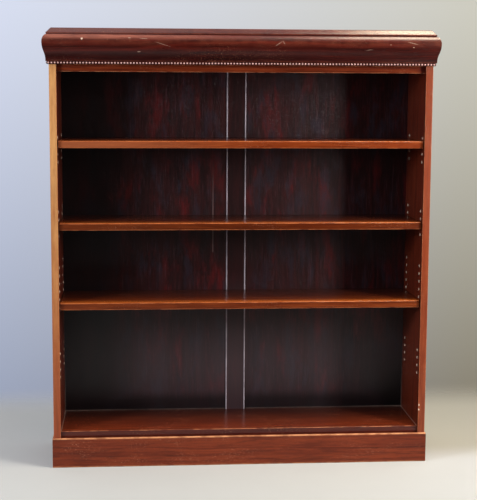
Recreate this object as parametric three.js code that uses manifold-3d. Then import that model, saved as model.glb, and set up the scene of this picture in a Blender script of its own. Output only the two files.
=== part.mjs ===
// A mahogany bookcase with three adjustable shelves: a plinth frame, a carcass of two sides, a top
// and a bottom board, a back of two panels and a muntin, a moulded cornice with a row of beads, and
// shelves that sit over brass pegs. Lengths are millimetres. +X is to the right, +Y is towards the
// wall and +Z is up. The origin is on the floor, under the middle of the overall box.
import * as THREE from 'three';
import { mergeVertices } from 'three/addons/utils/BufferGeometryUtils.js';
import Module from 'manifold-3d';

const wasm = await Module();
wasm.setup();

// Carcass
const CASE_WIDTH = 1174;
const CASE_DEPTH = 284;
const CASE_BOTTOM = 91;
const BOARD = 22;
const BOTTOM_SETBACK = 12;
const TOP_SETBACK = 16;
const HOUSING_DEPTH = 6;
const OPENING_TOP = 1229.25;
// How far a cutting tool runs past the face that it opens
const OVERCUT = 1;

// Back, at its distance behind the front edges of the sides
const PANEL_FACE = 260.5;
const PANEL = 8;
const GROOVE_WIDTH = 8.5;
const GROOVE_DEPTH = 7;
const MUNTIN_WIDTH = 64;
const MUNTIN_WEB = 40;
const MUNTIN_PROUD = 4.5;
const MUNTIN_REAR = 6;
const MUNTIN_CHAMFER = 2;
// Room round the panels: in the sides' grooves and under the bottom board, under the cornice
// rails, and beside the muntin's web
const GROOVE_ROOM = 0.5;
const TOP_ROOM = 0.25;
const WEB_ROOM = 1;

// Shelves and pegs: each shelf's level is the height of its underside
const SHELF_LEVELS = { upper: 998, middle: 745.25, lower: 497 };
const SHELF_SETBACK = 12;
const SHELF_BACK = 252;
const SHELF_END_GAP = 2.25;
const NOTCH = { length: 26, halfWidth: 4.75, clearance: 0.25 };
const PEG = { shank: 3, shankLength: 12, tip: 0.5, head: 4.25, headLength: 10.5, rise: 5.75 };
const PEG_CROWN = { across: 1.25, shoulder: 1.5, rim: 0.25 };
const PEG_FACETS = 12;
const PEG_ROWS = { front: 33, rear: 226 };
const HOLE = { radius: 3.25, depth: 14, pitch: 24.75 };
// Each run of holes: its lowest hole's height, and how many holes it has
const HOLE_RUNS = [[281.75, 4], [502.75, 6], [726.25, 4], [954.25, 4]];

// Plinth
const PLINTH = { height: 94, proud: 4, board: 18, round: 3, foot: 1.5 };
const PLINTH_BLOCK = { leg: 40, height: 80 };
const ROUND_STEPS = 4;

// Cornice
const CORNICE_OUT = 19.5;
const CORNICE_TOP = 1340;
const CAP_TOP = 1360;
const RAIL = 18;
const CORNICE_BLOCK = { leg: 30, height: 60 };
const BEAD = { seat: 4, backing: 1.25, radius: 3.25, height: 9 };
const BEAD_STEPS = 6;
// The ogee, from the fillet over the beads up to the cap, as [distance out, height]
const OGEE = [[9, 1261], [9, 1266.5], [9.75, 1274], [12, 1283], [15, 1291.5], [17.75, 1301], [19, 1309],
  [CORNICE_OUT, 1316.5], [19, 1324], [16.5, 1331.5], [12.5, 1337], [9, CORNICE_TOP]];
const OGEE_STEPS = 22;
// The cap board's edge: a step, a small nose, a second step and a long slope
const CAP_EDGE = [[6.5, CORNICE_TOP], [6.5, 1341.5], [7.75, 1343], [7.75, 1345.5], [6.5, 1347],
  [4.75, 1347.5], [4.25, 1348.5], [-6, 1359], [-8, CAP_TOP]];

// Screws that hold the back to the top and bottom boards
const SCREW = { head: 4, rim: 0.5, shank: 2, sink: 2.5, point: 4, length: 28, clearance: 0.3 };
const SCREW_MOUTH = 2;
const SCREW_FACETS = 10;
const SCREW_PLACES = {
  left_outer: -480,
  left_inner: -120,
  centre: 0,
  right_inner: 120,
  right_outer: 480,
};

// Planes that follow from the driving dimensions
const HALF = CASE_WIDTH / 2;
const INNER = HALF - BOARD;
const FRONT = (CORNICE_OUT - CASE_DEPTH) / 2;
const REAR = FRONT + CASE_DEPTH;
const CASE_TOP = OPENING_TOP + BOARD;
const FLOOR_TOP = CASE_BOTTOM + BOARD;
const PANEL_FRONT = FRONT + PANEL_FACE;

function material(colour, roughness, metalness) {
  return new THREE.MeshStandardMaterial({ color: colour, roughness, metalness });
}

const materials = {
  case: material(0x7a3b22, 0.32, 0),
  shelf: material(0x84421f, 0.3, 0),
  cornice: material(0x541d17, 0.3, 0),
  back: material(0x37191a, 0.38, 0),
  softwood: material(0xa98458, 0.75, 0),
  brass: material(0xa8864a, 0.38, 1),
  steel: material(0x6d6a66, 0.45, 1),
};

const bookcase = new THREE.Group();

function addMesh(name, geometry, finish, x = 0, y = 0, z = 0) {
  const mesh = new THREE.Mesh(geometry, finish.clone());
  mesh.name = name;
  mesh.position.set(x, y, z);
  bookcase.add(mesh);
  return mesh;
}

// A block between two corners, each given as [x, y, z]
function block(low, high) {
  const size = high.map((value, axis) => value - low[axis]);
  const centre = high.map((value, axis) => (value + low[axis]) / 2);
  return new THREE.BoxGeometry(...size).translate(...centre);
}

function toSolid(geometry) {
  const bare = geometry.clone();
  bare.deleteAttribute('normal');
  bare.deleteAttribute('uv');
  const merged = mergeVertices(bare, 1e-4);
  return new wasm.Manifold(new wasm.Mesh({
    numProp: 3,
    vertProperties: new Float32Array(merged.getAttribute('position').array),
    triVerts: new Uint32Array(merged.getIndex().array),
  }));
}

function toGeometry(solid) {
  const mesh = solid.getMesh();
  const geometry = new THREE.BufferGeometry();
  geometry.setAttribute('position', new THREE.BufferAttribute(mesh.vertProperties, 3));
  geometry.setIndex(new THREE.BufferAttribute(mesh.triVerts, 1));
  geometry.computeVertexNormals();
  return geometry;
}

function cut(geometry, tools) {
  const whole = toSolid(geometry);
  return toGeometry(tools.reduce((rest, tool) => rest.subtract(toSolid(tool)), whole));
}

// ---- Moulded lengths that run round the front and both sides ----

// An extruded outline of [out, height] points. Where an end is mitred, a point that stands further
// out also reaches further along.
function mouldedLength(outline, length, startMitre, endMitre) {
  const shape = new THREE.Shape(outline.map(([out, height]) => new THREE.Vector2(out, height)));
  const geometry = new THREE.ExtrudeGeometry(shape, { depth: length, bevelEnabled: false, steps: 1 });
  const position = geometry.getAttribute('position');
  for (let i = 0; i < position.count; i += 1) {
    const out = position.getX(i);
    const atEnd = position.getZ(i) > length / 2;
    position.setZ(i, atEnd ? length + out * endMitre : -out * startMitre);
  }
  return geometry.rotateX(Math.PI / 2);
}

function addRun(name, outline, finish) {
  const front = addMesh(`${name}_front`, mouldedLength(outline, CASE_WIDTH, 1, 1), finish, HALF, FRONT);
  front.rotation.z = -Math.PI / 2;
  addMesh(`${name}_right`, mouldedLength(outline, CASE_DEPTH, 0, 1), finish, HALF, REAR);
  const left = addMesh(`${name}_left`, mouldedLength(outline, CASE_DEPTH, 1, 0), finish, -HALF, FRONT);
  left.rotation.z = Math.PI;
}

// Rounds to sixteenths of a millimetre, so that the two halves of a mitre meet on one plane
function snap(value) {
  const parts = 16;
  return Math.round(value * parts) / parts;
}

function arc(centreOut, centreHeight, radius, from, to, steps) {
  return Array.from({ length: steps + 1 }, (_, i) => {
    const angle = THREE.MathUtils.degToRad(from + ((to - from) * i) / steps);
    return [snap(centreOut + radius * Math.cos(angle)), snap(centreHeight + radius * Math.sin(angle))];
  });
}

function curve(points, steps) {
  const spline = new THREE.SplineCurve(points.map(([out, height]) => new THREE.Vector2(out, height)));
  return spline.getPoints(steps).map((point) => [snap(point.x), snap(point.y)]);
}

// ---- Plinth: a mitred frame with a lip round the foot of the carcass ----

function addPlinth() {
  const { height, proud, board, round, foot } = PLINTH;
  const outline = [
    [proud - board, 0],
    [proud - foot, 0],
    [proud, foot],
    ...arc(proud - round, height - round, round, 0, 90, ROUND_STEPS),
    [0, height],
    [0, CASE_BOTTOM],
    [proud - board, CASE_BOTTOM],
  ];
  addRun('plinth', outline, materials.case);
  const inside = HALF + proud - board;
  const rail = block([-inside, REAR - board, 0], [inside, REAR, CASE_BOTTOM]);
  addMesh('plinth_back', rail, materials.softwood);
  const base = CASE_BOTTOM - PLINTH_BLOCK.height;
  addCornerBlocks('plinth_block', PLINTH_BLOCK, inside, FRONT - proud + board, REAR - board, base);
}

// Four upright triangular blocks, one in each inside corner
function addCornerBlocks(name, size, halfWidth, frontFace, rearFace, base) {
  for (const [side, sideSign] of [['left', -1], ['right', 1]]) {
    for (const [end, endSign, face] of [['front', -1, frontFace], ['rear', 1, rearFace]]) {
      const corner = new THREE.Vector2(sideSign * halfWidth, face);
      const shape = new THREE.Shape([
        corner,
        new THREE.Vector2(corner.x - sideSign * size.leg, corner.y),
        new THREE.Vector2(corner.x, corner.y - endSign * size.leg),
      ]);
      const prism = new THREE.ExtrudeGeometry(shape, { depth: size.height, bevelEnabled: false });
      addMesh(`${name}_${end}_${side}`, prism, materials.softwood, 0, 0, base);
    }
  }
}

// ---- Carcass ----

function pegHole(sign, row, height) {
  const length = HOLE.depth + OVERCUT;
  const drill = new THREE.CylinderGeometry(HOLE.radius, HOLE.radius, length, PEG_FACETS);
  drill.rotateZ(Math.PI / 2);
  return drill.translate(sign * (INNER - OVERCUT + length / 2), FRONT + PEG_ROWS[row], height);
}

// A block given by its distances from the carcass centre plane, on the left (-1) or the right (1)
function sidedBlock(sign, nearX, farX, y, z) {
  const xs = [sign * nearX, sign * farX].sort((a, b) => a - b);
  return block([xs[0], y[0], z[0]], [xs[1], y[1], z[1]]);
}

function addSide(name, sign) {
  const board = sidedBlock(sign, INNER, HALF, [FRONT, REAR], [CASE_BOTTOM, CASE_TOP]);
  const inside = INNER - OVERCUT;
  const housed = INNER + HOUSING_DEPTH;
  const below = CASE_BOTTOM - OVERCUT;
  const above = CASE_TOP + OVERCUT;
  const grooved = INNER + GROOVE_DEPTH;
  const tools = [
    sidedBlock(sign, inside, housed, [FRONT + BOTTOM_SETBACK, PANEL_FRONT], [below, FLOOR_TOP]),
    sidedBlock(sign, inside, housed, [FRONT + TOP_SETBACK, PANEL_FRONT], [OPENING_TOP, above]),
    sidedBlock(sign, inside, grooved, [PANEL_FRONT, PANEL_FRONT + GROOVE_WIDTH], [below, above]),
  ];
  for (const [lowest, count] of HOLE_RUNS) {
    for (let i = 0; i < count; i += 1) {
      for (const row of Object.keys(PEG_ROWS)) {
        tools.push(pegHole(sign, row, lowest + i * HOLE.pitch));
      }
    }
  }
  addMesh(name, cut(board, tools), materials.case);
}

// A countersunk screw along -Y, with its head's face at y = 0, grown all round by a clearance
function screwShape(clearance) {
  const { head, rim, shank, sink, point, length } = SCREW;
  const profile = [
    [0, 0],
    [head + clearance, 0],
    [head + clearance, rim],
    [shank + clearance, sink],
    [shank + clearance, length - point],
    [0, length + clearance],
  ];
  const points = profile.map(([radius, depth]) => new THREE.Vector2(radius, -depth));
  return new THREE.LatheGeometry(points.reverse(), SCREW_FACETS);
}

// The pocket for a screw, open at the face that its head is flush with
function screwPocket(x, height, faceY) {
  const radius = SCREW.head + SCREW.clearance;
  const mouth = new THREE.CylinderGeometry(radius, radius, SCREW_MOUTH, SCREW_FACETS);
  mouth.translate(0, SCREW_MOUTH / 2, 0);
  const pocket = toSolid(screwShape(SCREW.clearance)).add(toSolid(mouth));
  return toGeometry(pocket).translate(x, faceY, height);
}

const SCREW_HEIGHTS = { bottom: CASE_BOTTOM + BOARD / 2, top: OPENING_TOP + BOARD / 2 };
const PANEL_REAR = PANEL_FRONT + PANEL;
const MUNTIN_BACK = PANEL_FRONT + GROOVE_WIDTH + MUNTIN_REAR;

function screwFace(place) {
  return place === 'centre' ? MUNTIN_BACK : PANEL_REAR;
}

function screwPockets(wanted) {
  const tools = [];
  for (const height of Object.values(SCREW_HEIGHTS)) {
    for (const [place, x] of Object.entries(SCREW_PLACES).filter(([name]) => wanted.test(name))) {
      tools.push(screwPocket(x, height, screwFace(place)));
    }
  }
  return tools;
}

function addBoards() {
  const reach = INNER + HOUSING_DEPTH;
  const bottom = block([-reach, FRONT + BOTTOM_SETBACK, CASE_BOTTOM], [reach, PANEL_FRONT, FLOOR_TOP]);
  const top = block([-reach, FRONT + TOP_SETBACK, OPENING_TOP], [reach, PANEL_FRONT, CASE_TOP]);
  addMesh('bottom_board', cut(bottom, screwPockets(/./)), materials.case);
  addMesh('top_board', cut(top, screwPockets(/./)), materials.case);
}

// ---- Back: two panels held between the sides and a grooved muntin ----

function addBack() {
  const low = CASE_BOTTOM + GROOVE_ROOM;
  const high = CASE_TOP - TOP_ROOM;
  const far = INNER + GROOVE_DEPTH - GROOVE_ROOM;
  const near = MUNTIN_WEB / 2 + WEB_ROOM;
  for (const [side, sign] of [['left', -1], ['right', 1]]) {
    const panel = sidedBlock(sign, near, far, [PANEL_FRONT, PANEL_REAR], [low, high]);
    addMesh(`back_panel_${side}`, cut(panel, screwPockets(new RegExp(side))), materials.back);
  }
  const half = MUNTIN_WIDTH / 2;
  const web = MUNTIN_WEB / 2;
  const face = PANEL_FRONT - MUNTIN_PROUD;
  const grooveRear = PANEL_FRONT + GROOVE_WIDTH;
  const outline = [
    [-half, PANEL_FRONT],
    [-half, face + MUNTIN_CHAMFER],
    [MUNTIN_CHAMFER - half, face],
    [half - MUNTIN_CHAMFER, face],
    [half, face + MUNTIN_CHAMFER],
    [half, PANEL_FRONT],
    [web, PANEL_FRONT],
    [web, grooveRear],
    [half, grooveRear],
    [half, MUNTIN_BACK],
    [-half, MUNTIN_BACK],
    [-half, grooveRear],
    [-web, grooveRear],
    [-web, PANEL_FRONT],
  ];
  const shape = new THREE.Shape(outline.map(([x, y]) => new THREE.Vector2(x, y)));
  const length = new THREE.ExtrudeGeometry(shape, { depth: high - low, bevelEnabled: false });
  length.translate(0, 0, low);
  const past = half + OVERCUT;
  const before = face - OVERCUT;
  const tools = [
    block([-past, before, low - OVERCUT], [past, PANEL_FRONT, FLOOR_TOP]),
    block([-past, before, OPENING_TOP], [past, PANEL_FRONT, high + OVERCUT]),
    ...screwPockets(/centre/),
  ];
  addMesh('back_muntin', cut(length, tools), materials.back);
}

function addScrews() {
  for (const [row, height] of Object.entries(SCREW_HEIGHTS)) {
    for (const [place, x] of Object.entries(SCREW_PLACES)) {
      addMesh(`back_screw_${row}_${place}`, screwShape(0), materials.steel, x, screwFace(place), height);
    }
  }
}

// ---- Shelves and pegs ----

function addShelf(level, underside) {
  const end = INNER - SHELF_END_GAP;
  const top = underside + BOARD;
  const shelf = block([-end, FRONT + SHELF_SETBACK, underside], [end, FRONT + SHELF_BACK, top]);
  const ceiling = underside + PEG.rise + PEG.head + NOTCH.clearance;
  const tools = [];
  for (const sign of [-1, 1]) {
    for (const row of Object.values(PEG_ROWS)) {
      const across = [FRONT + row - NOTCH.halfWidth, FRONT + row + NOTCH.halfWidth];
      const heights = [underside - OVERCUT, ceiling];
      tools.push(sidedBlock(sign, end - NOTCH.length, end + OVERCUT, across, heights));
    }
  }
  addMesh(`shelf_${level}`, cut(shelf, tools), materials.shelf);
}

function pegShape() {
  const { shank, shankLength, tip, head, headLength } = PEG;
  const points = [
    [0, -shankLength],
    [shank - tip, -shankLength],
    [shank, tip - shankLength],
    [shank, 0],
    [head, 0],
    [head, headLength - PEG_CROWN.shoulder],
    [head - PEG_CROWN.across, headLength - PEG_CROWN.rim],
    [0, headLength],
  ];
  const outline = points.map(([radius, along]) => new THREE.Vector2(radius, along));
  return new THREE.LatheGeometry(outline, PEG_FACETS);
}

function addPegs(level, underside) {
  for (const [row, depth] of Object.entries(PEG_ROWS)) {
    for (const [side, sign] of [['left', -1], ['right', 1]]) {
      const height = underside + PEG.rise;
      const peg = addMesh(`peg_${level}_${row}_${side}`, pegShape(), materials.brass,
        sign * INNER, FRONT + depth, height);
      peg.rotation.z = (sign * Math.PI) / 2;
    }
  }
}

// ---- Cornice: mitred mouldings and bead strips on a frame of rails, under a cap board ----

function addCornice() {
  const { seat, backing, radius, height } = BEAD;
  const moulding = [
    [0, CASE_TOP],
    [seat, CASE_TOP],
    [seat, CASE_TOP + height],
    [OGEE[0][0], CASE_TOP + height],
    ...curve(OGEE, OGEE_STEPS),
    [0, CORNICE_TOP],
  ];
  addRun('cornice', moulding, materials.cornice);
  const back = seat + backing;
  const strip = [
    [seat, CASE_TOP],
    [back, CASE_TOP],
    ...arc(back, CASE_TOP + height / 2, radius, -90, 90, BEAD_STEPS),
    [back, CASE_TOP + height],
    [seat, CASE_TOP + height],
  ];
  addRun('bead', strip, materials.cornice);
}

function addCorniceFrame() {
  const inside = HALF - RAIL;
  const rails = {
    cornice_rail_front: [[-HALF, FRONT], [HALF, FRONT + RAIL]],
    cornice_rail_left: [[-HALF, FRONT + RAIL], [-inside, REAR]],
    cornice_rail_right: [[inside, FRONT + RAIL], [HALF, REAR]],
    cornice_rail_back: [[-inside, REAR - RAIL], [inside, REAR]],
  };
  for (const [name, [low, high]] of Object.entries(rails)) {
    addMesh(name, block([...low, CASE_TOP], [...high, CORNICE_TOP]), materials.softwood);
  }
  addCornerBlocks('cornice_block', CORNICE_BLOCK, inside, FRONT + RAIL, REAR - RAIL, CASE_TOP);
}

// The cap board, as a stack of rectangles that step in and out round the front and both sides
function addCapBoard() {
  const vertices = CAP_EDGE.flatMap(([out, height]) => [
    -HALF - out, FRONT - out, height,
    HALF + out, FRONT - out, height,
    HALF + out, REAR, height,
    -HALF - out, REAR, height,
  ]);
  const corners = 4;
  const last = (CAP_EDGE.length - 1) * corners;
  const indices = [0, 2, 1, 0, 3, 2, last, last + 1, last + 2, last, last + 2, last + 3];
  for (let level = 0; level < last; level += corners) {
    for (let corner = 0; corner < corners; corner += 1) {
      const a = level + corner;
      const b = level + ((corner + 1) % corners);
      indices.push(a, b, b + corners, a, b + corners, a + corners);
    }
  }
  const geometry = new THREE.BufferGeometry();
  geometry.setAttribute('position', new THREE.Float32BufferAttribute(vertices, 3));
  geometry.setIndex(indices);
  addMesh('cap_board', geometry, materials.cornice);
}

addPlinth();
addSide('left_side', -1);
addSide('right_side', 1);
addBoards();
addBack();
addScrews();
addCornice();
addCorniceFrame();
addCapBoard();
for (const [level, underside] of Object.entries(SHELF_LEVELS)) {
  addShelf(level, underside);
  addPegs(level, underside);
}

export default bookcase;
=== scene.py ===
import math
import random

import bmesh
import bpy
from mathutils import Matrix, Vector


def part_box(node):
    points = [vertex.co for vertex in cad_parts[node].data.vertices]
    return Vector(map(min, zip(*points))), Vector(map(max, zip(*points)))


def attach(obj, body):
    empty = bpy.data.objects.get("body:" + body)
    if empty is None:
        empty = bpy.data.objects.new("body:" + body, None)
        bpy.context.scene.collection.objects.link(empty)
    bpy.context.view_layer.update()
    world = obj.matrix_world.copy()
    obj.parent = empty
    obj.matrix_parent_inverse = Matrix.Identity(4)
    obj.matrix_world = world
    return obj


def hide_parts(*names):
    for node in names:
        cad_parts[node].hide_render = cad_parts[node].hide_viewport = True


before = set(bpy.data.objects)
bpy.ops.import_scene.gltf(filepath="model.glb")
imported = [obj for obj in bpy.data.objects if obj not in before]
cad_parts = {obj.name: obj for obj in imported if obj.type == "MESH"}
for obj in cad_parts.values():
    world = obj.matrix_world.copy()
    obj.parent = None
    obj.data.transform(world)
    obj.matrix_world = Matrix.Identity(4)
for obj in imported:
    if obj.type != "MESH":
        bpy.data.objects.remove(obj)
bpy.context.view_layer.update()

# ---- Sizes, in metres, read from the CAD parts where they have them ----
MM = 0.001
side_low, side_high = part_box("right_side")
INNER, HALF = side_low.x, side_high.x
FRONT, REAR = side_low.y, side_high.y
CASE_BOTTOM = side_low.z
FLOOR_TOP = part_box("bottom_board")[1].z
OPENING_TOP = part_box("top_board")[0].z
PANEL_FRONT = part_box("back_panel_left")[0].y
CORNICE_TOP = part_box("cap_board")[0].z
LEVELS = ("upper", "middle", "lower")
SIDES = (("left", -1), ("right", 1))
ROWS = ("front", "rear")
# Each length of moulding, and the axis that it and its grain run along
LENGTHS = (("front", "X"), ("left", "Y"), ("right", "Y"))
# Each run of peg holes: the height of its lowest hole, and how many holes it has
HOLE_RUNS = ((281.75 * MM, 4), (502.75 * MM, 6), (726.25 * MM, 4), (954.25 * MM, 4))
HOLE_PITCH = 24.75 * MM
HOLE_RADIUS = 3.25 * MM
HOLE_DEPTH = 13.5 * MM
# Two places closer than this are the same place
TOUCHING = 1e-6

scene = bpy.context.scene
scene.view_settings.view_transform = "Standard"


# ---- Camera and studio ----
def add_camera(place, yaw, pitch, roll, lens):
    """Yaw turns right from +Y, pitch tips down and roll turns anticlockwise, all in degrees."""
    yaw, pitch, roll = (math.radians(angle) for angle in (yaw, pitch, roll))
    ahead = Vector((math.sin(yaw) * math.cos(pitch), math.cos(yaw) * math.cos(pitch), -math.sin(pitch)))
    level_right = Vector((math.cos(yaw), -math.sin(yaw), 0))
    level_up = level_right.cross(ahead)
    right = level_right * math.cos(roll) - level_up * math.sin(roll)
    up = level_right * math.sin(roll) + level_up * math.cos(roll)
    data = bpy.data.cameras.new("camera")
    data.sensor_width = 36
    data.lens = lens
    camera = bpy.data.objects.new("camera", data)
    scene.collection.objects.link(camera)
    turn = Matrix((right, up, -ahead)).transposed()
    camera.matrix_world = Matrix.Translation(place) @ turn.to_4x4()
    scene.camera = camera


def add_area(name, place, target, size, power, colour, spread=180):
    """A lamp at place that faces target. Its size is its width and height in metres, its power is in
    watts and its spread is in degrees."""
    data = bpy.data.lights.new(name, "AREA")
    data.spread = math.radians(spread)
    data.shape = "RECTANGLE"
    data.size, data.size_y = size
    data.energy = power
    data.color = colour
    light = bpy.data.objects.new(name, data)
    scene.collection.objects.link(light)
    light.location = place
    light.rotation_mode = "QUATERNION"
    light.rotation_quaternion = (Vector(target) - Vector(place)).to_track_quat("-Z", "Y")


add_camera(Vector((-0.3305, -4.107, 1.223)), yaw=4.586, pitch=7.690, roll=-0.318, lens=93.56)
add_area("key_right", (1.75, -1.45, 1.30), (0.45, 0, 0.75), (0.28, 0.90), 9.0, (1.0, 0.95, 0.92), spread=80)
add_area("fill_left", (-2.22, -1.63, 1.50), (0, 0, 0.75), (0.60, 0.80), 46, (0.92, 0.95, 1.0))
add_area("overhead", (1.0, -0.75, 2.75), (0.5, 0, 1.0), (1.1, 0.7), 34, (1.0, 0.88, 0.70))
add_area("glint", (0.74, -0.28, 2.45), (0.66, -0.20, 1.2), (0.50, 0.40), 4.3, (1.0, 0.84, 0.60), spread=90)


# ---- Node graphs ----
class Graph:
    """A material's node tree, with one short method for each kind of node."""

    def __init__(self, name):
        self.material = bpy.data.materials.new(name)
        self.material.use_nodes = True
        self.tree = self.material.node_tree
        self.shader = self.tree.nodes["Principled BSDF"]

    def node(self, kind, inputs=(), **settings):
        made = self.tree.nodes.new(kind)
        for key, value in settings.items():
            setattr(made, key, value)
        for key, value in dict(inputs).items():
            self.put(value, made.inputs[key])
        return made

    def put(self, value, socket):
        if isinstance(value, bpy.types.NodeSocket):
            self.tree.links.new(value, socket)
        else:
            socket.default_value = value

    def position(self):
        return self.node("ShaderNodeTexCoord").outputs["Object"]

    def split(self, vector):
        return self.node("ShaderNodeSeparateXYZ", {0: vector}).outputs

    def stretch(self, vector, scale, shift=(0, 0, 0)):
        inputs = {"Vector": vector, "Scale": scale, "Location": shift}
        return self.node("ShaderNodeMapping", inputs).outputs[0]

    def noise(self, vector, detail=2.0, rough=0.5):
        inputs = {"Vector": vector, "Scale": 1.0, "Detail": detail, "Roughness": rough}
        return self.node("ShaderNodeTexNoise", inputs).outputs["Fac"]

    def math(self, operation, a, b=0.0, c=0.0, clamp=False):
        made = self.node("ShaderNodeMath", {0: a, 1: b, 2: c}, operation=operation, use_clamp=clamp)
        return made.outputs[0]

    def product(self, a, b):
        return self.math("MULTIPLY", a, b)

    def opposite(self, value):
        """0 where the value is 1, and 1 where it is 0."""
        return self.math("SUBTRACT", 1.0, value)

    def distance(self, a, b):
        """How far out a point is, from its distances a and b along two axes."""
        return self.math("SQRT", self.math("ADD", self.math("POWER", a, 2), self.math("POWER", b, 2)))

    def contrast(self, value, strength):
        """A 0 to 1 value spread out from its middle."""
        return self.math("MULTIPLY_ADD", self.math("SUBTRACT", value, 0.5), strength, 0.5, clamp=True)

    def between(self, value, low, high):
        """0 at low and 1 at high, smooth between them and level past them. Low may be the larger."""
        inputs = {"Value": value, "From Min": low, "From Max": high}
        made = self.node("ShaderNodeMapRange", inputs, interpolation_type="SMOOTHSTEP")
        return made.outputs["Result"]

    def spread(self, value, low, high):
        """A 0 to 1 value carried over to low to high."""
        inputs = {"Value": value, "To Min": low, "To Max": high}
        return self.node("ShaderNodeMapRange", inputs).outputs["Result"]

    def mix(self, factor, a, b, blend="MIX"):
        made = self.node("ShaderNodeMix", data_type="RGBA", blend_type=blend)
        self.put(factor, made.inputs[0])
        self.put(a, made.inputs[6])
        self.put(b, made.inputs[7])
        return made.outputs[2]

    def ramp(self, value, stops):
        made = self.node("ShaderNodeValToRGB", {0: value})
        elements = made.color_ramp.elements
        while len(elements) < len(stops):
            elements.new(0.5)
        for element, (place, colour) in zip(elements, stops):
            element.position = place
            element.color = colour
        return made.outputs[0]

    def attribute(self, name):
        return self.node("ShaderNodeAttribute", attribute_name=name).outputs["Fac"]

    def bump(self, height, distance):
        inputs = {"Height": height, "Distance": distance, "Strength": 1.0}
        return self.node("ShaderNodeBump", inputs).outputs[0]

    def finish(self, colour, roughness, normal, **constants):
        """Fills in the shader. Each constant is named after its socket, with _ for a space."""
        self.put(colour, self.shader.inputs["Base Color"])
        self.put(roughness, self.shader.inputs["Roughness"])
        self.put(normal, self.shader.inputs["Normal"])
        for key, value in constants.items():
            self.shader.inputs[key.replace("_", " ")].default_value = value
        return self.material


def rgb(red, green, blue):
    """A colour given as it looks on a screen, 0 to 255, as linear light."""
    def linear(value):
        value /= 255
        return value / 12.92 if value <= 0.04045 else ((value + 0.055) / 1.055) ** 2.4
    return (linear(red), linear(green), linear(blue), 1.0)


# ---- Wood ----
KNOCKED = rgb(186, 132, 102)
CHIPPED = rgb(222, 192, 170)
GRAIN_DEPTH = 0.12 * MM


def along_grain(axis, along, across):
    """A scale for each of X, Y and Z, for a figure that is stretched along the grain."""
    return tuple(along if letter == axis else across for letter in "XYZ")


def wood_figure(graph, axis, seed):
    """Growth layers, streaks and pores that run along an axis, each 0 to 1."""
    random.seed(seed)
    shift = [random.uniform(-9, 9) for _ in range(3)]
    place = graph.position()
    wander = graph.noise(graph.stretch(place, along_grain(axis, 1.3, 3.0), shift), 2.0)
    fine_wander = graph.noise(graph.stretch(place, along_grain(axis, 7.0, 20.0), shift), 1.0)
    parts = graph.split(place)
    names = [letter for letter in "XYZ" if letter != axis]
    first, second = (parts["XYZ".index(letter)] for letter in names)
    heart = [random.uniform(0.05, 0.12) * random.choice((-1, 1)) for _ in range(2)]
    first = graph.math("ADD", first, heart[0] + 0.3)
    second = graph.math("ADD", second, heart[1] + 0.3)
    radius = graph.math("MULTIPLY_ADD", wander, 0.10, graph.distance(first, second))
    radius = graph.math("MULTIPLY_ADD", fine_wander, 0.004, radius)
    rings = graph.node("ShaderNodeTexNoise", {"W": radius, "Scale": 95.0, "Detail": 3.0, "Roughness": 0.55},
                       noise_dimensions="1D").outputs["Fac"]
    streaks = graph.noise(graph.stretch(place, along_grain(axis, 3.5, 230.0), shift), 4.0, 0.6)
    bands = graph.noise(graph.stretch(place, along_grain(axis, 0.9, 14.0), shift), 3.0, 0.55)
    pores = graph.noise(graph.stretch(place, along_grain(axis, 110.0, 1500.0), shift), 1.0, 0.5)
    patches = graph.noise(graph.stretch(place, along_grain(axis, 2.0, 5.0), shift), 2.0, 0.5)
    mottle = graph.noise(graph.stretch(place, along_grain(axis, 9.0, 75.0), shift), 3.0, 0.65)
    return {"rings": rings, "streaks": streaks, "bands": bands, "patches": patches, "mottle": mottle,
            "pores": graph.between(pores, 0.60, 0.74), "place": place}


def grain_colour(graph, figure, tones, contrast):
    """Dark, middle and light tones laid out by the grain, with dark pores and uneven patches."""
    dark, middle, light = tones
    value = graph.product(figure["rings"], 0.40)
    value = graph.math("MULTIPLY_ADD", figure["streaks"], 0.30, value)
    value = graph.math("MULTIPLY_ADD", figure["bands"], 0.30, value)
    value = graph.contrast(value, 2.4 * contrast)
    colour = graph.ramp(value, ((0.08, dark), (0.5, middle), (0.95, light)))
    shade = graph.spread(figure["patches"], 0.72, 1.28)
    grey = graph.node("ShaderNodeCombineColor", {0: shade, 1: shade, 2: shade}).outputs[0]
    colour = graph.mix(1.0, colour, grey, "MULTIPLY")
    colour = graph.mix(graph.product(figure["pores"], 0.45), colour, dark)
    darker = graph.product(graph.between(figure["mottle"], 0.50, 0.68), 0.45)
    lighter = graph.product(graph.between(figure["mottle"], 0.48, 0.32), 0.40)
    return graph.mix(lighter, graph.mix(darker, colour, dark), light)


def rubbed_arrises(graph, figure, colour, worn, patchy):
    """Where the wear attribute is high, the polish is rubbed through in patches."""
    patches = graph.between(graph.noise(graph.stretch(figure["place"], (30, 30, 30)), 3.0), 0.35, 0.62)
    amount = graph.product(graph.attribute("wear"), graph.spread(patches, *patchy))
    return graph.mix(amount, colour, worn)


def knocked(graph, figure, colour, amount):
    """Many small pale knocks, in clusters."""
    knocks = graph.noise(graph.stretch(figure["place"], (260, 260, 420), (5, 2, 8)), 2.0, 0.6)
    clusters = graph.noise(graph.stretch(figure["place"], (7, 7, 16), (1, 6, 3)), 1.0)
    knocks = graph.product(graph.between(knocks, 0.60, 0.70), graph.between(clusters, 0.48, 0.64))
    return graph.mix(graph.product(knocks, amount), colour, KNOCKED)


def polish(graph, figure, axis, roughness, matt_above):
    """The roughness of smeared polish, and of the dust on anything higher than matt_above."""
    smears = graph.noise(graph.stretch(figure["place"], along_grain(axis, 3.0, 16.0)), 3.0, 0.6)
    smeared = graph.spread(smears, roughness - 0.06, roughness + 0.07)
    if matt_above is None:
        return smeared
    above = graph.between(graph.split(figure["place"])[2], matt_above, matt_above + 0.5 * MM)
    return graph.math("MAXIMUM", smeared, graph.product(above, 0.55))


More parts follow.
